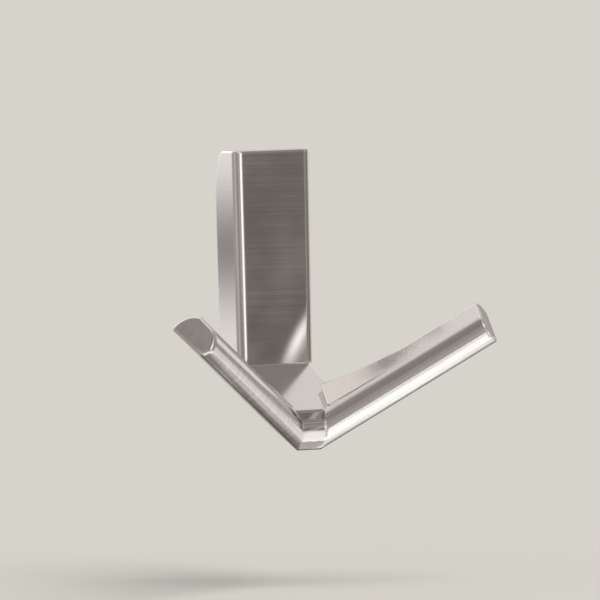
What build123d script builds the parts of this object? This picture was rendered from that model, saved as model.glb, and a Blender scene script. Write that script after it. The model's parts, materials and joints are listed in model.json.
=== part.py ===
"""Double coat hook: one zinc die casting with an upright post, a sloping neck and two raked arms.

Millimetres, +Z up. The wall is the plane Y = 0 and the hook stands out from it towards -Y, with
its plane of symmetry at X = 0. The origin lies on the wall, halfway between the two screw bosses.
"""

from build123d import *

import math
import os

# Post
POST_TOP_WIDTH = 24.0
POST_FOOT_WIDTH = 23.4
POST_DEPTH = 14.0
POST_TOP_Z = 38.5
POST_FOOT_Z = -22.9
POST_CORNER_RADIUS = 2.2
POST_EDGE_RADIUS = 0.4
CROWN_DEPTH = 5.7
CROWN_HEIGHT = 12.8

# Neck, which slopes down and forward from the foot of the post
NECK_WIDTH = 19.8
NECK_SLOPE = 30.4
NECK_REACH = 20.6
NECK_ROOT = 2.0
NECK_UNDERSIDE_SLOPE = 34.0
NECK_EDGE_RADIUS = 0.35
NECK_FRONT_RADIUS = 1.0
FLARE_Y = -21.2
FLARE_ANGLE = 40.0
FLARE_REACH = 9.0
FLARE_RADIUS = 6.0

# Arms: splayed from side to side, raised, and rolled so that the sole faces down and back
ARM_LENGTH = 59.4
ARM_SPLAY = 33.7
ARM_RISE = 30.5
ARM_ROLL = 37.5
ARM_THICKNESS = 7.6
TIP_RADIUS = 0.8

# Arm section, in distances back along the sole and up from it
SOLE_LENGTH = 14.5
SOLE_DROP = 0.7
HEEL_RADIUS = 0.6
SOLE_EDGE_RADIUS = 0.3
BEVEL_OVERHANG = 1.35
BEVEL_HEIGHT = 3.0
BEVEL_RADIUS = 0.5
BROW_OVERHANG = 0.35
BROW_HEIGHT = 5.0
FLAT_START = 4.6
FLAT_END = 10.3
BULGE_LENGTH = 13.4
BULGE_HEIGHT = 5.0

# Keel, the short level stretch where the arms meet, and the ledge across its front
KEEL_WIDTH = 7.4
KEEL_Y = -33.4
KEEL_Z = -46.3
LEDGE_Z = -38.1
LEDGE_BACK_WIDTH = 9.4
LEDGE_FRONT_WIDTH = 4.2
LEDGE_DEPTH = 5.0
LEDGE_NOSE_RADIUS = 0.3
LEDGE_INNER_RADIUS = 0.4

# Raised panel that widens the root of each arm and sinks into it further out
PANEL_START = 8.3
PANEL_END = 41.2
PANEL_FRONT = 5.25
PANEL_PROUD = 0.4
PANEL_SINK_ANGLE = 1.0
PANEL_ROOT_BACK = 15.8
PANEL_WAIST = 20.9
PANEL_WAIST_BACK = 12.7
PANEL_THICKNESS = 5.5
PANEL_EDGE_RADIUS = 0.3
PANEL_CORNER_RADIUS = 0.9

# Cored back with a central rib and two tapped screw bosses
CORE_WALL = 2.4
CORE_DEPTH = 9.5
CORE_TOP_Z = 22.5
CORE_FOOT_Z = -20.4
CORE_CORNER_RADIUS = 1.2
RIB_THICKNESS = 2.0
BOSS_SPACING = 32.0
BOSS_RADIUS = 4.2
TAPPED_RADIUS = 1.65
TAPPED_DEPTH = 9.0


def arm_frame():
    """The axes of the right arm: along it, back across its sole and square to the sole."""
    splay, rise, roll = (math.radians(angle) for angle in (ARM_SPLAY, ARM_RISE, ARM_ROLL))
    along = Vector(
        math.cos(splay) * math.cos(rise), -math.sin(splay) * math.cos(rise), math.sin(rise)
    )
    level = Vector(-math.sin(splay), -math.cos(splay), 0)
    upright = level.cross(along)
    back = upright * math.sin(roll) - level * math.cos(roll)
    square = level * math.sin(roll) + upright * math.cos(roll)
    return along, back, square


ALONG, BACK, SQUARE = arm_frame()
keel_corner = Vector(KEEL_WIDTH / 2, KEEL_Y, KEEL_Z)
keel_corner_left = Vector(-KEEL_WIDTH / 2, KEEL_Y, KEEL_Z)
square_left = Vector(-SQUARE.X, SQUARE.Y, SQUARE.Z)
sole_planes = (
    Plane(origin=keel_corner, z_dir=SQUARE),
    Plane(origin=keel_corner_left, z_dir=square_left),
)
tip_plane = Plane(origin=keel_corner + ALONG * ARM_LENGTH, x_dir=BACK, z_dir=ALONG)
mitre_plane = Plane.YZ.offset(KEEL_WIDTH / 2)
panel_plane = Plane(
    origin=keel_corner + ALONG * PANEL_START + SQUARE * (ARM_THICKNESS + PANEL_PROUD),
    x_dir=ALONG,
    z_dir=SQUARE,
).rotated((0, PANEL_SINK_ANGLE, 0))
neck_front_y = -POST_DEPTH - NECK_REACH
neck_front_z = POST_FOOT_Z - NECK_REACH * math.tan(math.radians(NECK_SLOPE))
neck_low_z = POST_FOOT_Z + KEEL_Y * math.tan(math.radians(NECK_UNDERSIDE_SLOPE))

# Raised panel, seen square to its face: a straight front lip, a square inner end over the neck
# and a back edge that sweeps in to the arm's own shoulder
with BuildPart() as panel:
    panel_length = PANEL_END - PANEL_START
    back_start = (0, PANEL_ROOT_BACK)
    waist = (PANEL_WAIST - PANEL_START, PANEL_WAIST_BACK)
    back_end = (panel_length, FLAT_END)
    with BuildSketch(panel_plane):
        with BuildLine():
            Polyline(back_start, (0, PANEL_FRONT), (panel_length, PANEL_FRONT), back_end)
            ThreePointArc(back_end, waist, back_start)
        make_face()
        back_corner = panel_plane.from_local_coords(back_start)
        fillet(vertices().sort_by_distance(back_corner)[0], PANEL_CORNER_RADIUS)
    extrude(amount=-PANEL_THICKNESS)
    panel_face = faces().filter_by(lambda face: face.normal_at().dot(panel_plane.z_dir) > 0.999)
    fillet(panel_face.edges().sort_by_distance(panel_plane.origin)[:2], PANEL_EDGE_RADIUS)

# Arm: a D section with a flat sole, a bevelled lower front edge and a rounded back, mitred where
# it meets the keel
with BuildPart() as arm:
    with BuildSketch(tip_plane):
        with BuildLine():
            heel = (SOLE_LENGTH, -SOLE_DROP)
            bevel = (-BEVEL_OVERHANG, BEVEL_HEIGHT)
            brow = (-BROW_OVERHANG, BROW_HEIGHT)
            flat_start = (FLAT_START, ARM_THICKNESS)
            flat_end = (FLAT_END, ARM_THICKNESS)
            Polyline(heel, (0, 0), bevel, brow)
            TangentArc(flat_start, brow, tangent=(-1, 0))
            Line(flat_start, flat_end)
            ThreePointArc(flat_end, (BULGE_LENGTH, BULGE_HEIGHT), heel)
        make_face()
        fillet(vertices().sort_by_distance((0, 0))[0], SOLE_EDGE_RADIUS)
        fillet(vertices().sort_by_distance(bevel)[0], BEVEL_RADIUS)
        fillet(vertices().sort_by_distance(heel)[0], HEEL_RADIUS)
    extrude(amount=-2 * ARM_LENGTH)
    split(bisect_by=mitre_plane, keep=Keep.TOP)
    fillet(faces().filter_by(lambda face: face.normal_at().dot(ALONG) > 0.999).edges(), TIP_RADIUS)
    with BuildPart(mode=Mode.PRIVATE) as seat:
        with BuildSketch(Plane.YZ):
            with BuildLine():
                Polyline(
                    (-POST_DEPTH, POST_FOOT_Z),
                    (neck_front_y, neck_front_z),
                    (neck_front_y, POST_TOP_Z),
                    (-POST_DEPTH, POST_TOP_Z),
                    close=True,
                )
            make_face()
        extrude(amount=POST_TOP_WIDTH)
        split(bisect_by=Plane(origin=keel_corner + ALONG * PANEL_START, z_dir=ALONG), keep=Keep.BOTTOM)
    add(seat.part, mode=Mode.SUBTRACT)

# Neck: its side outline crossed with its plan outline, whose sides flare into the backs of the
# arms, and cut off below in the planes of the two soles
with BuildPart() as neck:
    with BuildSketch(Plane.YZ):
        with BuildLine():
            Polyline(
                (0, POST_FOOT_Z + NECK_ROOT),
                (-POST_DEPTH, POST_FOOT_Z + NECK_ROOT),
                (-POST_DEPTH, POST_FOOT_Z),
                (neck_front_y, neck_front_z),
                (neck_front_y, LEDGE_Z),
                (KEEL_Y, neck_low_z),
                (0, POST_FOOT_Z),
                close=True,
            )
        make_face()
        fillet(vertices().sort_by_distance((neck_front_y, neck_front_z))[0], NECK_FRONT_RADIUS)
    extrude(amount=POST_TOP_WIDTH, both=True)
    with BuildSketch(Plane.XY.offset(KEEL_Z)):
        with BuildLine():
            flare = math.radians(FLARE_ANGLE)
            bend = (NECK_WIDTH / 2, FLARE_Y)
            wing = (bend[0] + FLARE_REACH * math.cos(flare), FLARE_Y - FLARE_REACH * math.sin(flare))
            Polyline(
                (0, 0),
                (NECK_WIDTH / 2, 0),
                bend,
                wing,
                (wing[0], neck_front_y),
                (0, neck_front_y),
                close=True,
            )
        make_face()
        fillet(vertices().sort_by_distance(bend)[0], FLARE_RADIUS)
        mirror(about=Plane.YZ)
    extrude(amount=POST_TOP_Z - KEEL_Z, mode=Mode.INTERSECT)
    for sole_plane in sole_planes:
        split(bisect_by=sole_plane, keep=Keep.TOP)
    ramp_middle = (0, -POST_DEPTH - NECK_REACH / 2, (POST_FOOT_Z + neck_front_z) / 2)
    ramp = faces().sort_by_distance(ramp_middle)[0]
    ramp_rim = ramp.edges().filter_by(lambda edge: wing[1] < edge.center().Y < -POST_DEPTH)
    fillet(ramp_rim, NECK_EDGE_RADIUS)

# Post: its side outline, with the crown rounded back to the wall, crossed with its tapered front
with BuildPart() as post:
    with BuildSketch(Plane.YZ):
        with BuildLine():
            crown_centre = (-CROWN_DEPTH, POST_TOP_Z - CROWN_HEIGHT)
            Polyline(
                (0, crown_centre[1]),
                (0, POST_FOOT_Z),
                (-POST_DEPTH, POST_FOOT_Z),
                (-POST_DEPTH, POST_TOP_Z),
                (crown_centre[0], POST_TOP_Z),
            )
            EllipticalCenterArc(crown_centre, CROWN_DEPTH, CROWN_HEIGHT, arc_size=90)
        make_face()
    extrude(amount=POST_TOP_WIDTH, both=True)
    with BuildSketch(Plane.XZ):
        with BuildLine():
            Polyline(
                (-POST_FOOT_WIDTH / 2, POST_FOOT_Z),
                (POST_FOOT_WIDTH / 2, POST_FOOT_Z),
                (POST_TOP_WIDTH / 2, POST_TOP_Z),
                (-POST_TOP_WIDTH / 2, POST_TOP_Z),
                close=True,
            )
        make_face()
    extrude(amount=POST_DEPTH, mode=Mode.INTERSECT)
    front_corners = faces().sort_by(Axis.Y)[0].edges().filter_by(lambda edge: edge.length > POST_TOP_WIDTH)
    fillet(front_corners, POST_CORNER_RADIUS)
    top_rim = faces().sort_by(Axis.Z)[-1].edges().filter_by(lambda edge: edge.center().Y < -CROWN_DEPTH - 0.1)
    foot_rim = faces().sort_by(Axis.Z)[0].edges().filter_by(lambda edge: edge.center().Y < 0)
    fillet(top_rim + foot_rim, POST_EDGE_RADIUS)

with BuildPart() as hook:
    add(post.part)
    add(neck.part)
    add(arm.part)
    add(panel.part)
    mirror(arm.part, about=Plane.YZ)
    mirror(panel.part, about=Plane.YZ)
    extrude(arm.faces().sort_by(Axis.X)[0], amount=KEEL_WIDTH)
    with BuildSketch(Plane.XY.offset(LEDGE_Z)):
        with BuildLine():
            ledge_front_y = neck_front_y - LEDGE_DEPTH
            Polyline(
                (-LEDGE_BACK_WIDTH / 2, neck_front_y),
                (LEDGE_BACK_WIDTH / 2, neck_front_y),
                (LEDGE_FRONT_WIDTH / 2, ledge_front_y),
                (-LEDGE_FRONT_WIDTH / 2, ledge_front_y),
                close=True,
            )
        make_face()
    extrude(amount=-KEEL_Z, mode=Mode.SUBTRACT)
    ledge = faces().sort_by_distance((0, neck_front_y - 1, LEDGE_Z))[0]
    fillet(ledge.edges().sort_by(Axis.Y)[0], LEDGE_NOSE_RADIUS)
    ledge = faces().sort_by_distance((0, neck_front_y - 1, LEDGE_Z))[0]
    fillet(ledge.edges().sort_by(Axis.Y)[-1], LEDGE_INNER_RADIUS)

    # Core and bosses, from the wall side
    with BuildSketch(Plane.XZ):
        with Locations((0, (CORE_TOP_Z + CORE_FOOT_Z) / 2)):
            core_height = CORE_TOP_Z - CORE_FOOT_Z
            RectangleRounded(POST_FOOT_WIDTH - 2 * CORE_WALL, core_height, CORE_CORNER_RADIUS)
            Rectangle(RIB_THICKNESS, core_height, mode=Mode.SUBTRACT)
        with GridLocations(0, BOSS_SPACING, 1, 2):
            Circle(BOSS_RADIUS, mode=Mode.SUBTRACT)
    extrude(amount=CORE_DEPTH, mode=Mode.SUBTRACT)
    with Locations(Plane.XZ.rotated((180, 0, 0))):
        with GridLocations(0, BOSS_SPACING, 1, 2):
            Hole(TAPPED_RADIUS, depth=TAPPED_DEPTH)

hook.part.label = "hook_body"
os.makedirs("parts", exist_ok=True)
export_step(hook.part, "parts/hook_body.step")
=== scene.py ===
"""A brushed nickel double coat hook, dressed and lit as in the photograph.

The hook is one die casting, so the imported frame's own mesh is shown. This script gives it its
finish, the light of a small product studio and the camera. Lengths are in metres, and angles in
degrees, unless a line says otherwise.
"""

import json
import logging
import math
from dataclasses import dataclass
from enum import Enum

import bpy
from mathutils import Matrix, Vector

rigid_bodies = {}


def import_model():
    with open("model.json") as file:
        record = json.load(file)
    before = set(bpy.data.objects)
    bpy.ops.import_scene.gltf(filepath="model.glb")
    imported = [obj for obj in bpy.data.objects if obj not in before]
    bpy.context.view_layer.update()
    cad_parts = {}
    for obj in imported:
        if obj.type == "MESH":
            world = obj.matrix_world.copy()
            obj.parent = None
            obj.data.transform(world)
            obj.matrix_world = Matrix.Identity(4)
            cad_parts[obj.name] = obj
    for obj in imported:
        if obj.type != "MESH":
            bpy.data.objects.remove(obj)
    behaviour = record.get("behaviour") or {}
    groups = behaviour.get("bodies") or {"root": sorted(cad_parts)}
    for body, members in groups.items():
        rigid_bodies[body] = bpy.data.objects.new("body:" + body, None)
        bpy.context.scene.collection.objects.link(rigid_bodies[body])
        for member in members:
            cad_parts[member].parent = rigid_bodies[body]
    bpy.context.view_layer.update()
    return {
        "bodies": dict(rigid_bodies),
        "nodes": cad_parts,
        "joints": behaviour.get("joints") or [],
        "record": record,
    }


Socket = bpy.types.NodeSocket
Colour = tuple[float, float, float, float]
Triple = tuple[float, float, float]

MILLIMETRE = 0.001
LIGHT_WHITE: Colour = (1.0, 0.972, 0.942, 1.0)

log = logging.getLogger("coat_hook")


def heading(azimuth: float, elevation: float) -> Vector:
    """Finds a direction as seen from the hook.

    Args:
        azimuth: 0 is straight ahead of the wall, and positive is to the right.
        elevation: 0 is level, and positive is up.

    Returns:
        The unit vector.
    """
    turn, lift = math.radians(azimuth), math.radians(elevation)
    level = math.cos(lift)
    return Vector((math.sin(turn) * level, -math.cos(turn) * level, math.sin(lift)))


def add_square(name: str, half_width: float) -> bpy.types.Object:
    """Adds a flat square to the scene, facing up.

    Args:
        name: Its name.
        half_width: Half its width.

    Returns:
        The square.
    """
    mesh = bpy.data.meshes.new(name)
    low, high = -half_width, half_width
    corners = [(low, low, 0.0), (high, low, 0.0), (high, high, 0.0), (low, high, 0.0)]
    mesh.from_pydata(corners, [], [(0, 1, 2, 3)])
    square = bpy.data.objects.new(name, mesh)
    bpy.context.scene.collection.objects.link(square)
    return square


class SocketKind(Enum):
    """The kinds of socket that the shader node groups have."""

    NUMBER = "NodeSocketFloat"
    VECTOR = "NodeSocketVector"


class NodeSheet:
    """A node tree with short calls for adding, feeding and mixing nodes."""

    def __init__(self, tree: bpy.types.NodeTree) -> None:
        """Starts on a node tree.

        Args:
            tree: The material's, world's or group's node tree.
        """
        self.tree = tree

    @classmethod
    def emptied(cls, holder: bpy.types.Material | bpy.types.World) -> "NodeSheet":
        """Starts on a material's or a world's own tree, with its first nodes cleared away.

        Args:
            holder: The material or the world.

        Returns:
            The sheet.
        """
        holder.use_nodes = True
        holder.node_tree.nodes.clear()
        return cls(holder.node_tree)

    @classmethod
    def group(
        cls, name: str, inputs: dict[str, SocketKind], outputs: dict[str, SocketKind]
    ) -> "NodeSheet":
        """Starts on a new shader node group.

        Args:
            name: The group's name.
            inputs: Its inputs and their kinds.
            outputs: Its outputs and their kinds.

        Returns:
            The sheet.
        """
        tree = bpy.data.node_groups.new(name, "ShaderNodeTree")
        for direction, sockets in (("INPUT", inputs), ("OUTPUT", outputs)):
            for label, kind in sockets.items():
                tree.interface.new_socket(label, in_out=direction, socket_type=kind.value)
        return cls(tree)

    def add(
        self, kind: str, inputs: dict[str | int, object] | None = None, **settings: object
    ) -> bpy.types.Node:
        """Adds a node.

        Args:
            kind: The node's type name.
            inputs: What feeds its inputs, by their names or numbers.
            **settings: Attributes to set on it.

        Returns:
            The node.
        """
        node = self.tree.nodes.new(kind)
        for name, value in settings.items():
            setattr(node, name, value)
        for name, source in (inputs or {}).items():
            self.feed(node.inputs[name], source)
        return node

    def feed(self, socket: Socket, source: object) -> None:
        """Gives an input its source.

        Args:
            socket: The input.
            source: An output to link, or a value to set.
        """
        if isinstance(source, bpy.types.NodeSocket):
            self.tree.links.new(source, socket)
        else:
            socket.default_value = source

    def math(self, operation: str, *sources: object) -> Socket:
        """Adds a Math node.

        Args:
            operation: The node's operation.
            *sources: Its inputs, as outputs or numbers.

        Returns:
            Its output.
        """
        inputs = dict(enumerate(sources))
        return self.add("ShaderNodeMath", inputs, operation=operation).outputs[0]

    def vector_math(self, operation: str, *sources: object) -> Socket:
        """Adds a Vector Math node.

        Args:
            operation: The node's operation.
            *sources: Its inputs, as outputs or vectors.

        Returns:
            Its vector output.
        """
        inputs = dict(enumerate(sources))
        return self.add("ShaderNodeVectorMath", inputs, operation=operation).outputs[0]

    def dot(self, first: object, second: object) -> Socket:
        """Finds how far one vector reaches along another.

        Args:
            first: The vector.
            second: The direction.

        Returns:
            The distance.
        """
        inputs = {0: first, 1: second}
        node = self.add("ShaderNodeVectorMath", inputs, operation="DOT_PRODUCT")
        return node.outputs["Value"]

    def ramp(
        self, value: object, low: object, high: object, to_low: object = 0.0, to_high: object = 1.0
    ) -> Socket:
        """Maps a range smoothly onto another.

        Args:
            value: The value.
            low: Where the range starts.
            high: Where it ends.
            to_low: The result at its start.
            to_high: The result at its end.

        Returns:
            The mapped value.
        """
        inputs = {"Value": value, "From Min": low, "From Max": high}
        inputs |= {"To Min": to_low, "To Max": to_high}
        return self.add("ShaderNodeMapRange", inputs, interpolation_type="SMOOTHSTEP").outputs[0]

    def blend(self, share: object, first: object, second: object) -> Socket:
        """Blends two numbers.

        Args:
            share: How much of the second shows.
            first: The first number.
            second: The second number.

        Returns:
            The blended number.
        """
        inputs = {"Factor": share, "A": first, "B": second}
        return self.add("ShaderNodeMix", inputs, data_type="FLOAT").outputs["Result"]

    def colour_blend(self, share: object, first: object, second: object) -> Socket:
        """Blends two colours.

        Args:
            share: How much of the second shows.
            first: The first colour.
            second: The second colour.

        Returns:
            The blended colour.
        """
        # The node's colour sockets share their names with others, so they go by number
        inputs = {0: share, 6: first, 7: second}
        return self.add("ShaderNodeMix", inputs, data_type="RGBA").outputs[2]

    def shader_blend(self, share: object, first: Socket, second: Socket) -> Socket:
        """Blends two shaders.

        Args:
            share: How much of the second shows.
            first: The first shader.
            second: The second shader.

        Returns:
            The blended shader.
        """
        return self.add("ShaderNodeMixShader", {0: share, 1: first, 2: second}).outputs[0]


@dataclass(frozen=True)
class ArmLayout:
    """Where the right arm lies: it leaves the keel sideways, forwards and up."""

    splay: float = 33.7
    rise: float = 30.5
    roll: float = 37.5
    keel_half_width: float = 3.7 * MILLIMETRE
    keel_front: float = -33.4 * MILLIMETRE
    keel_bottom: float = -46.3 * MILLIMETRE

    def along(self) -> Vector:
        """The unit vector from the keel to the right arm's tip."""
        splay, rise = math.radians(self.splay), math.radians(self.rise)
        level = math.cos(rise)
        return Vector((math.cos(splay) * level, -math.sin(splay) * level, math.sin(rise)))

    def back(self) -> Vector:
        """The unit vector back across the right arm's sole."""
        splay, roll = math.radians(self.splay), math.radians(self.roll)
        front = Vector((-math.sin(splay), -math.cos(splay), 0.0))
        upright = front.cross(self.along())
        return upright * math.sin(roll) - front * math.cos(roll)

    def root(self) -> Vector:
        """The front bottom corner of the keel on the right."""
        return Vector((self.keel_half_width, self.keel_front, self.keel_bottom))


@dataclass(frozen=True)
class Onset:
    """Where an effect starts and where it is whole, in millimetres."""

    start: float
    whole: float

    def share(self, sheet: NodeSheet, place: Socket, low: float = 0.0, high: float = 1.0) -> Socket:
        """Finds how much of the effect shows.

        Args:
            sheet: The material's nodes.
            place: The place, in metres.
            low: The result where the effect starts.
            high: The result where it is whole.

        Returns:
            The share.
        """
        return sheet.ramp(place, self.start * MILLIMETRE, self.whole * MILLIMETRE, low, high)


@dataclass(frozen=True)
class BrushedGrain:
    """The shader node group for fine parallel brushing with a cloudy unevenness over it."""

    name: str = "Brushed grain"
    stroke_detail: float = 3.0
    stroke_breakup: float = 0.6
    cloud_scale: float = 55.0
    cloud_detail: float = 2.0

    def build(self) -> bpy.types.ShaderNodeTree:
        """Builds the group.

        Returns:
            The group. Across is the direction across the strokes, Fineness is how many there are
            in a metre, and Reach is how often each changes in a metre of its length.
        """
        inputs = {
            "Position": SocketKind.VECTOR,
            "Across": SocketKind.VECTOR,
            "Fineness": SocketKind.NUMBER,
            "Reach": SocketKind.NUMBER,
        }
        outputs = {"Strokes": SocketKind.NUMBER, "Clouds": SocketKind.NUMBER}
        sheet = NodeSheet.group(self.name, inputs, outputs)
        inside = sheet.add("NodeGroupInput").outputs
        position = inside["Position"]

        # The noise is read fast across the strokes and slowly along them, so it runs in lines
        fast = sheet.math("MULTIPLY", sheet.dot(position, inside["Across"]), inside["Fineness"])
        line = sheet.add("ShaderNodeCombineXYZ", {"X": fast}).outputs[0]
        scaling = {0: position, "Scale": inside["Reach"]}
        slow = sheet.add("ShaderNodeVectorMath", scaling, operation="SCALE").outputs[0]
        lines = {
            "Vector": sheet.vector_math("ADD", slow, line),
            "Scale": 1.0,
            "Detail": self.stroke_detail,
            "Roughness": self.stroke_breakup,
        }
        strokes = sheet.add("ShaderNodeTexNoise", lines).outputs[0]
        haze = {"Vector": position, "Scale": self.cloud_scale, "Detail": self.cloud_detail}
        clouds = sheet.add("ShaderNodeTexNoise", haze).outputs[0]
        sheet.add("NodeGroupOutput", {"Strokes": strokes, "Clouds": clouds})
        return sheet.tree


@dataclass(frozen=True)
class BuffedEdges:
    """How round the buffing has left the edges, with the radii and the places in millimetres.

    Reach is along the arm from the keel, and depth is back across its sole. Height is above the
    keel's front bottom corner, and front is behind it.
    """

    plain_radius: float = 0.25
    arm_radius: float = 1.3
    arm_reach: Onset = Onset(0.5, 3.0)
    arm_depth: Onset = Onset(4.5, 2.0)
    keel_radius: float = 1.5
    keel_reach: Onset = Onset(2.0, 0.0)
    keel_depth: Onset = Onset(8.0, 5.0)
    post_radius: float = 0.9
    post_front: Onset = Onset(15.0, 17.0)
    post_height: Onset = Onset(23.6, 25.6)
    foot_radius: float = 0.7
    foot_height: float = 23.6
    foot_rim: Onset = Onset(1.6, 0.8)
    foot_depth: Onset = Onset(20.0, 22.0)

    def radius(
        self, sheet: NodeSheet, layout: ArmLayout, from_root: Socket, reach: Socket
    ) -> Socket:
        """Finds the edge radius, from the arms' lower fronts up to the post.

        Args:
            sheet: The material's nodes.
            layout: Where the arms lie.
            from_root: The position seen from the arm's root, with the left side folded over.
            reach: How far along the arm it lies.

        Returns:
            The radius, in metres.
        """
        depth = sheet.dot(from_root, layout.back())
        height = sheet.add("ShaderNodeSeparateXYZ", {0: from_root})
        in_front = sheet.math(
            "MULTIPLY", self.arm_reach.share(sheet, reach), self.arm_depth.share(sheet, depth)
        )
        plain, arm = self.plain_radius * MILLIMETRE, self.arm_radius * MILLIMETRE
        arm_edges = sheet.ramp(in_front, 0.0, 1.0, plain, arm)
        on_keel = sheet.math(
            "MULTIPLY", self.keel_reach.share(sheet, reach), self.keel_depth.share(sheet, depth)
        )
        lower_edges = sheet.blend(on_keel, arm_edges, self.keel_radius * MILLIMETRE)
        on_post = sheet.math(
            "MULTIPLY",
            self.post_front.share(sheet, height.outputs["Y"]),
            self.post_height.share(sheet, height.outputs["Z"]),
        )
        upper_edges = sheet.blend(on_post, lower_edges, self.post_radius * MILLIMETRE)
        above_foot = sheet.math("SUBTRACT", height.outputs["Z"], self.foot_height * MILLIMETRE)
        on_foot = sheet.math(
            "MULTIPLY",
            self.foot_rim.share(sheet, sheet.math("ABSOLUTE", above_foot)),
            self.foot_depth.share(sheet, depth),
        )
        return sheet.blend(on_foot, upper_edges, self.foot_radius * MILLIMETRE)


@dataclass(frozen=True)
class BrushedNickel:
    """The plated and brushed finish of the whole casting.

    The post is brushed from side to side, and the arms across their length. Fineness and reach
    are for a metre, depth and tone are shares, and each pair of noise values says where an effect
    starts and where it is whole.
    """

    name: str = "brushed_nickel"
    colour: Colour = (0.675, 0.653, 0.64, 1.0)
    stroke_colour: Colour = (0.55, 0.528, 0.51, 1.0)
    roughness: float = 0.13
    roughness_spread: float = 0.08
    uneven_noise: tuple[float, float] = (0.3, 0.7)
    stroke_noise: tuple[float, float] = (0.62, 0.36)
    stroke_reach: float = 120.0
    stroke_height: float = 0.1 * MILLIMETRE
    post_fineness: float = 9000.0
    post_stroke_depth: float = 0.035
    post_stroke_tone: float = 0.09
    arm_fineness: float = 2300.0
    arm_stroke_depth: float = 0.14
    right_stroke_tone: float = 0.12
    left_stroke_tone: float = 0.7
    left_side: Onset = Onset(2.0, -4.0)
    arm_past_keel: Onset = Onset(1.0, 9.0)
    arm_past_post: Onset = Onset(-16.0, -24.0)
    edge_samples: int = 8
    edges: BuffedEdges = BuffedEdges()
    layout: ArmLayout = ArmLayout()

    def build(self, grain: bpy.types.ShaderNodeTree) -> bpy.types.Material:
        """Builds the material.

        Args:
            grain: The brushed grain group.

        Returns:
            The material.
        """
        material = bpy.data.materials.new(self.name)
        sheet = NodeSheet.emptied(material)
        position = sheet.add("ShaderNodeTexCoord").outputs["Object"]
        x, y, z = sheet.add("ShaderNodeSeparateXYZ", {0: position}).outputs

        # The left side is folded over the right, so that one layout serves both arms
        right_x = sheet.math("ABSOLUTE", x)
        folded = sheet.add("ShaderNodeCombineXYZ", {"X": right_x, "Y": y, "Z": z}).outputs[0]
        from_root = sheet.vector_math("SUBTRACT", folded, self.layout.root())
        reach = sheet.dot(from_root, self.layout.along())
        past_keel = self.arm_past_keel.share(sheet, reach)
        past_post = self.arm_past_post.share(sheet, y)
        on_arm = sheet.math("MULTIPLY", past_keel, past_post)

        upright = Vector((0.0, 0.0, 1.0))
        post = self.place_grain(sheet, grain, position, upright, self.post_fineness)
        arms = self.place_grain(sheet, grain, folded, self.layout.along(), self.arm_fineness)
        strokes = sheet.blend(on_arm, post["Strokes"], arms["Strokes"])
        clouds = sheet.blend(on_arm, post["Clouds"], arms["Clouds"])

        radius = self.edges.radius(sheet, self.layout, from_root, reach)
        soft_edge = sheet.add("ShaderNodeBevel", {"Radius": radius}, samples=self.edge_samples)
        relief = {
            "Strength": sheet.ramp(on_arm, 0.0, 1.0, self.post_stroke_depth, self.arm_stroke_depth),
            "Distance": self.stroke_height,
            "Height": strokes,
            "Normal": soft_edge.outputs[0],
        }
        arm_tone = self.left_side.share(sheet, x, self.right_stroke_tone, self.left_stroke_tone)
        tone = sheet.blend(on_arm, self.post_stroke_tone, arm_tone)
        shade = sheet.ramp(strokes, *self.stroke_noise, 0.0, tone)
        metal = {
            "Base Color": sheet.colour_blend(shade, self.colour, self.stroke_colour),
            "Metallic": 1.0,
            "Roughness": self.uneven_roughness(sheet, strokes, clouds),
            "Normal": sheet.add("ShaderNodeBump", relief).outputs[0],
        }
        surface = sheet.add("ShaderNodeBsdfPrincipled", metal).outputs[0]
        sheet.add("ShaderNodeOutputMaterial", {"Surface": surface})
        return material

    def place_grain(
        self,
        sheet: NodeSheet,
        grain: bpy.types.ShaderNodeTree,
        position: Socket,
        across: Vector,
        fineness: float,
    ) -> bpy.types.NodeOutputs:
        """Places the grain group.

        Args:
            sheet: The material's nodes.
            grain: The group.
            position: The position it reads.
            across: The direction across the strokes.
            fineness: How many strokes there are in a metre.

        Returns:
            The group's outputs.
        """
        inputs = {
            "Position": position,
            "Across": across,
            "Fineness": fineness,
            "Reach": self.stroke_reach,
        }
        return sheet.add("ShaderNodeGroup", inputs, node_tree=grain).outputs

    def uneven_roughness(self, sheet: NodeSheet, strokes: Socket, clouds: Socket) -> Socket:
        """Finds the roughness, which follows the strokes and the clouds in equal parts.

        Args:
            sheet: The material's nodes.
            strokes: The strokes' noise.
            clouds: The clouds' noise.

        Returns:
            The roughness.
        """
        half_strokes = sheet.math("MULTIPLY", strokes, 0.5)
        half_clouds = sheet.math("MULTIPLY", clouds, 0.5)
        noise = sheet.math("ADD", half_strokes, half_clouds)
        smoothest = self.roughness - self.roughness_spread / 2
        roughest = self.roughness + self.roughness_spread / 2
        return sheet.ramp(noise, *self.uneven_noise, smoothest, roughest)


@dataclass(frozen=True)
class HookBody:
    """The casting itself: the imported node, with its finish in every slot."""

    node: str = "hook_body"
    finish: BrushedNickel = BrushedNickel()

    def dress(self, frame: dict) -> bpy.types.Object:
        """Gives the node its finish.

        Args:
            frame: What the frame loader returned.

        Returns:
            The node's object.
        """
        casting = frame["nodes"][self.node]
        material = self.finish.build(BrushedGrain().build())
        for slot in casting.material_slots:
            slot.material = material
        return casting


@dataclass(frozen=True)
class SoftBox:
    """A round soft box that the metal mirrors, brightest in its middle and fading to its edge.

    Its place and its radius are given as seen from the hook.
    """

    azimuth: float
    elevation: float
    radius: float
    brightness: float


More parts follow.
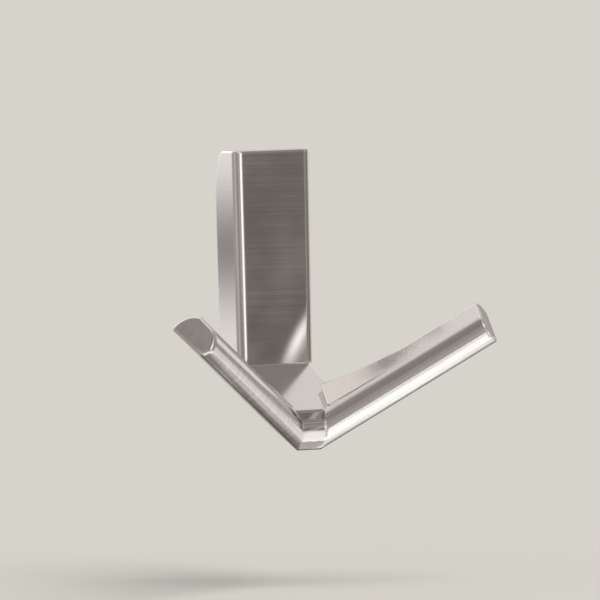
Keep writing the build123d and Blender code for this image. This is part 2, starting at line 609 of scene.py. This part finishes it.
# The room that the metal mirrors: each box's azimuth, elevation, radius and brightness
SOFT_BOXES = (
    # Ahead of the wall
    SoftBox(-47.7, 14.0, 22.0, 0.18),
    SoftBox(-44.1, -28.0, 22.0, 1.71),
    SoftBox(-30.6, 3.1, 22.0, 0.37),
    SoftBox(-30.0, -21.0, 18.0, 0.5),
    SoftBox(-26.0, 37.0, 14.0, 1.6),
    SoftBox(-15.3, 12.8, 22.0, 0.3),
    SoftBox(4.0, -4.0, 20.0, 1.3),
    SoftBox(4.8, 14.7, 22.0, 0.68),
    SoftBox(9.5, 6.8, 22.0, 0.13),
    SoftBox(28.5, -25.2, 22.0, 1.07),
    SoftBox(37.3, 13.5, 22.0, 0.21),
    SoftBox(44.9, 18.5, 22.0, 0.16),
    SoftBox(46.7, -2.2, 22.0, 0.19),
    # To the right
    SoftBox(57.0, -25.0, 18.0, 0.8),
    SoftBox(69.7, 12.4, 22.0, 0.09),
    SoftBox(81.0, -24.5, 22.0, 0.95),
    SoftBox(84.0, -12.0, 14.0, 0.06),
    SoftBox(90.9, 33.7, 34.0, 0.15),
    SoftBox(109.8, 16.1, 22.0, 0.38),
    SoftBox(111.7, -4.5, 22.0, 0.62),
    # Behind the wall
    SoftBox(171.2, 35.7, 58.0, 0.79),
    SoftBox(-169.9, -29.0, 34.0, 0.34),
    SoftBox(-164.0, -16.5, 58.0, 0.22),
    SoftBox(-159.3, 16.0, 34.0, 0.76),
    # To the left
    SoftBox(-94.4, 10.1, 34.0, 0.19),
    SoftBox(-91.5, 4.8, 58.0, 0.27),
    SoftBox(-75.4, 7.2, 22.0, 0.15),
    # Low down
    SoftBox(-7.6, -47.3, 34.0, 1.2),
    SoftBox(24.9, -51.7, 34.0, 0.55),
    SoftBox(55.0, -63.0, 16.0, 1.2),
    SoftBox(67.5, -69.7, 22.0, 0.27),
    SoftBox(77.4, -49.0, 34.0, 0.24),
    SoftBox(102.9, -47.6, 22.0, 0.42),
    SoftBox(115.0, -60.0, 9.0, 0.18),
    SoftBox(119.0, -47.0, 13.0, 0.12),
    # High up
    SoftBox(-168.8, 58.2, 58.0, 0.12),
    SoftBox(-136.3, 43.1, 58.0, 0.11),
    SoftBox(-123.9, 65.5, 22.0, 0.57),
    SoftBox(-41.9, 43.0, 22.0, 0.35),
    SoftBox(-31.0, 49.0, 9.0, 0.15),
    SoftBox(-26.5, 58.2, 22.0, 0.42),
    SoftBox(-6.5, 44.8, 34.0, 0.35),
    SoftBox(21.2, 86.4, 22.0, 0.61),
    SoftBox(63.2, 44.9, 22.0, 0.23),
    SoftBox(86.2, 40.5, 58.0, 0.22),
)


@dataclass(frozen=True)
class SoftBoxGlow:
    """The shader node group for one soft box's brightness in a direction."""

    name: str = "Soft box glow"

    def build(self) -> bpy.types.ShaderNodeTree:
        """Builds the group.

        Returns:
            The group. Toward is the direction of the box's middle, and Edge is the cosine of its
            radius.
        """
        inputs = {
            "Direction": SocketKind.VECTOR,
            "Toward": SocketKind.VECTOR,
            "Edge": SocketKind.NUMBER,
            "Brightness": SocketKind.NUMBER,
        }
        sheet = NodeSheet.group(self.name, inputs, {"Glow": SocketKind.NUMBER})
        inside = sheet.add("NodeGroupInput").outputs
        facing = sheet.dot(inside["Direction"], inside["Toward"])
        glow = sheet.ramp(facing, inside["Edge"], 1.0, 0.0, inside["Brightness"])
        sheet.add("NodeGroupOutput", {"Glow": glow})
        return sheet.tree


@dataclass(frozen=True)
class NearCard:
    """A small soft-edged oval card close to the hook, which only the metal's reflections see."""

    name: str
    place: Triple
    facing: Triple
    half_width: float
    half_height: float
    brightness: float
    tilt: float = 0.0

    def build(self) -> bpy.types.Object:
        """Builds the card: a square that shows its light in an oval, and only on its front.

        Returns:
            The card.
        """
        card = add_square(self.name, 1.0)
        turn = Vector(self.facing).to_track_quat("Z", "Y").to_matrix().to_4x4()
        tilt = Matrix.Rotation(math.radians(self.tilt), 4, "Z")
        size = Matrix.Diagonal((self.half_width, self.half_height, 1.0, 1.0))
        card.matrix_world = Matrix.Translation(self.place) @ turn @ tilt @ size
        for ray in ("camera", "diffuse", "shadow", "transmission", "volume_scatter"):
            setattr(card, f"visible_{ray}", False)

        material = bpy.data.materials.new(self.name)
        sheet = NodeSheet.emptied(material)
        middle = {"Vector": sheet.add("ShaderNodeTexCoord").outputs["Object"]}
        oval = sheet.add("ShaderNodeTexGradient", middle, gradient_type="SPHERICAL").outputs["Fac"]
        behind = sheet.add("ShaderNodeNewGeometry").outputs["Backfacing"]
        ahead = sheet.math("SUBTRACT", 1.0, behind)
        share = sheet.math("MULTIPLY", ahead, sheet.ramp(oval, 0.0, 1.0))
        clear = sheet.add("ShaderNodeBsdfTransparent").outputs[0]
        light = {"Color": LIGHT_WHITE, "Strength": self.brightness}
        glow = sheet.add("ShaderNodeEmission", light).outputs[0]
        surface = sheet.shader_blend(share, clear, glow)
        sheet.add("ShaderNodeOutputMaterial", {"Surface": surface})
        card.data.materials.append(material)
        return card


NEAR_CARDS = (
    NearCard(
        "side flag",
        place=(-0.082, 0.137, 0.0035),
        facing=(0.44, -0.9, 0.03),
        half_width=0.075,
        half_height=0.03,
        brightness=0.35,
    ),
    NearCard(
        "panel shade",
        place=(0.0055, -0.015, 0.015),
        facing=(0.0, -1.0, 0.0),
        half_width=0.0055,
        half_height=0.016,
        brightness=0.3,
        tilt=-18.0,
    ),
    NearCard(
        "left arm underlight",
        place=(-0.0318, -0.0528, -0.04),
        facing=(0.3945, 0.321, 0.861),
        half_width=0.0012,
        half_height=0.024,
        brightness=0.9,
        tilt=-4.7,
    ),
    NearCard(
        "right brow shade",
        place=(0.0201, -0.0573, -0.0296),
        facing=(0.363, 0.877, 0.315),
        half_width=0.0011,
        half_height=0.06,
        brightness=0.8,
        tilt=57.8,
    ),
    NearCard(
        "right bevel light",
        place=(0.0273, -0.0467, -0.0366),
        facing=(-0.654, -0.219, 0.724),
        half_width=0.0007,
        half_height=0.06,
        brightness=2.2,
        tilt=-42.8,
    ),
    NearCard(
        "left bevel light",
        place=(-0.0201, -0.0478, -0.0437),
        facing=(0.394, 0.323, 0.86),
        half_width=0.0011,
        half_height=0.05,
        brightness=1.1,
        tilt=175.2,
    ),
    NearCard(
        "arm glint",
        place=(0.0178, -0.0365, -0.0168),
        facing=(0.0, 1.0, 0.0),
        half_width=0.0027,
        half_height=0.0145,
        brightness=1.6,
        tilt=31.0,
    ),
)


@dataclass(frozen=True)
class SkyLamp:
    """A far, broad lamp that lights the floor evenly and casts the hook's soft shadow."""

    name: str
    toward: Triple
    strength: float
    spread: float = 40.0

    def build(self) -> bpy.types.Object:
        """Builds the lamp.

        Returns:
            The lamp.
        """
        lamp = bpy.data.lights.new(self.name, "SUN")
        lamp.angle = math.radians(self.spread)
        lamp.energy = self.strength
        holder = bpy.data.objects.new(self.name, lamp)
        direction = Vector(self.toward).normalized()
        holder.location = direction
        holder.rotation_euler = direction.to_track_quat("Z", "Y").to_euler()
        holder.visible_glossy = False
        bpy.context.scene.collection.objects.link(holder)
        return holder


@dataclass(frozen=True)
class SoftStudio:
    """The pale floor, the pale surround, the soft lamp and what the metal mirrors."""

    backdrop: Colour = (0.686, 0.665, 0.61, 1.0)
    fill_colour: Colour = (1.0, 0.99, 0.97, 1.0)
    fill_strength: float = 0.55
    floor_colour: Colour = (0.735, 0.714, 0.663, 1.0)
    floor_height: float = -0.085
    floor_half_width: float = 30.0
    surround_glow: float = 0.108
    dim_tint: Colour = (1.0, 0.90, 0.83, 1.0)
    tinted_brightness: tuple[float, float] = (0.15, 0.9)
    lamps: tuple[SkyLamp, ...] = (SkyLamp("key lamp", (0.35, -0.5, 1.0), 1.35),)
    boxes: tuple[SoftBox, ...] = SOFT_BOXES
    cards: tuple[NearCard, ...] = NEAR_CARDS

    def build(self) -> None:
        """Builds the surround, the floor, the lamps and the cards."""
        self.build_surround()
        staged = [self.build_floor()]
        staged += [piece.build() for piece in (*self.lamps, *self.cards)]

    def build_surround(self) -> None:
        """Builds the world.

        The camera sees the backdrop, the metal mirrors the soft boxes, and the rest gets plain
        light.
        """
        world = bpy.data.worlds.new("studio surround")
        bpy.context.scene.world = world
        sheet = NodeSheet.emptied(world)
        ray = sheet.add("ShaderNodeLightPath").outputs
        brightness = self.mirrored_brightness(sheet)
        bright_share = sheet.ramp(brightness, *self.tinted_brightness)
        tint = sheet.colour_blend(bright_share, self.dim_tint, LIGHT_WHITE)
        plain = self.background(sheet, self.fill_colour, self.fill_strength)
        mirrored = self.background(sheet, tint, brightness)
        shown = self.background(sheet, self.backdrop, 1.0)
        lit = sheet.shader_blend(ray["Is Glossy Ray"], plain, mirrored)
        seen = sheet.math("MAXIMUM", ray["Is Camera Ray"], ray["Is Transmission Ray"])
        sheet.add("ShaderNodeOutputWorld", {"Surface": sheet.shader_blend(seen, lit, shown)})

    def background(self, sheet: NodeSheet, colour: object, strength: object) -> Socket:
        """Adds a background shader.

        Args:
            sheet: The world's nodes.
            colour: Its colour, as an output or a value.
            strength: Its strength, as an output or a number.

        Returns:
            Its output.
        """
        inputs = {"Color": colour, "Strength": strength}
        return sheet.add("ShaderNodeBackground", inputs).outputs[0]

    def mirrored_brightness(self, sheet: NodeSheet) -> Socket:
        """Adds up the soft boxes over the surround's own dim glow.

        Args:
            sheet: The world's nodes.

        Returns:
            The brightness in each direction.
        """
        direction = sheet.add("ShaderNodeTexCoord").outputs["Generated"]
        group = SoftBoxGlow().build()
        total = self.surround_glow
        for box in self.boxes:
            inputs = {
                "Direction": direction,
                "Toward": heading(box.azimuth, box.elevation),
                "Edge": math.cos(math.radians(box.radius)),
                "Brightness": box.brightness,
            }
            glow = sheet.add("ShaderNodeGroup", inputs, node_tree=group).outputs["Glow"]
            total = sheet.math("ADD", total, glow)
        return total

    def build_floor(self) -> bpy.types.Object:
        """Builds the floor: a pale sheet that takes the hook's shadow and is clear from below.

        Returns:
            The floor.
        """
        floor = add_square("floor", self.floor_half_width)
        floor.location.z = self.floor_height
        floor.visible_glossy = False
        material = bpy.data.materials.new("pale floor")
        sheet = NodeSheet.emptied(material)
        paint = sheet.add("ShaderNodeBsdfDiffuse", {"Color": self.floor_colour}).outputs[0]
        below = sheet.add("ShaderNodeNewGeometry").outputs["Backfacing"]
        clear = sheet.add("ShaderNodeBsdfTransparent").outputs[0]
        surface = sheet.shader_blend(below, paint, clear)
        sheet.add("ShaderNodeOutputMaterial", {"Surface": surface})
        floor.data.materials.append(material)
        return floor


@dataclass(frozen=True)
class PhotoCamera:
    """The photograph's viewpoint: a long lens from the front left, a little above the hook.

    The lens and the sensor are in millimetres. The aim lies to the right of the view's middle by
    aim_right and above it by aim_up.
    """

    azimuth: float = -25.65
    elevation: float = 2.97
    roll: float = 1.30
    distance: float = 2.0
    lens: float = 420.0
    sensor: float = 36.0
    nearest: float = 0.05
    farthest: float = 100.0
    aim: Triple = (0.0, -0.014, -0.00514)
    aim_right: float = -6.8 * MILLIMETRE
    aim_up: float = -0.77 * MILLIMETRE

    def build(self) -> bpy.types.Object:
        """Builds the camera and makes it the scene's.

        Returns:
            The camera.
        """
        azimuth, roll = math.radians(self.azimuth), math.radians(self.roll)
        back = heading(self.azimuth, self.elevation)
        level = Vector((math.cos(azimuth), math.sin(azimuth), 0.0))
        upright = back.cross(level)
        right = level * math.cos(roll) - upright * math.sin(roll)
        up = level * math.sin(roll) + upright * math.cos(roll)
        place = Vector(self.aim) + back * self.distance - right * self.aim_right - up * self.aim_up

        lens = bpy.data.cameras.new("photo camera")
        lens.lens = self.lens
        lens.sensor_width = self.sensor
        lens.clip_start = self.nearest
        lens.clip_end = self.farthest
        camera = bpy.data.objects.new("photo camera", lens)
        turn = Matrix((right, up, back)).transposed().to_4x4()
        camera.matrix_world = Matrix.Translation(place) @ turn
        bpy.context.scene.collection.objects.link(camera)
        bpy.context.scene.camera = camera
        return camera


def main() -> None:
    """Builds the scene and reports each piece."""
    logging.basicConfig(level=logging.INFO, format="%(name)s: %(message)s")
    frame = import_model()
    casting = HookBody().dress(frame)
    log.info("%s: %d faces", casting.name, len(casting.data.polygons))
    studio = SoftStudio()
    studio.build()
    kinds = (len(studio.lamps), len(studio.boxes), len(studio.cards))
    log.info("studio: %d lamps, %d soft boxes, %d near cards", *kinds)
    camera = PhotoCamera().build()
    log.info("camera: %.0f mm lens", camera.data.lens)
    bpy.context.scene.view_settings.view_transform = "Standard"


if __name__ == "__main__":
    main()
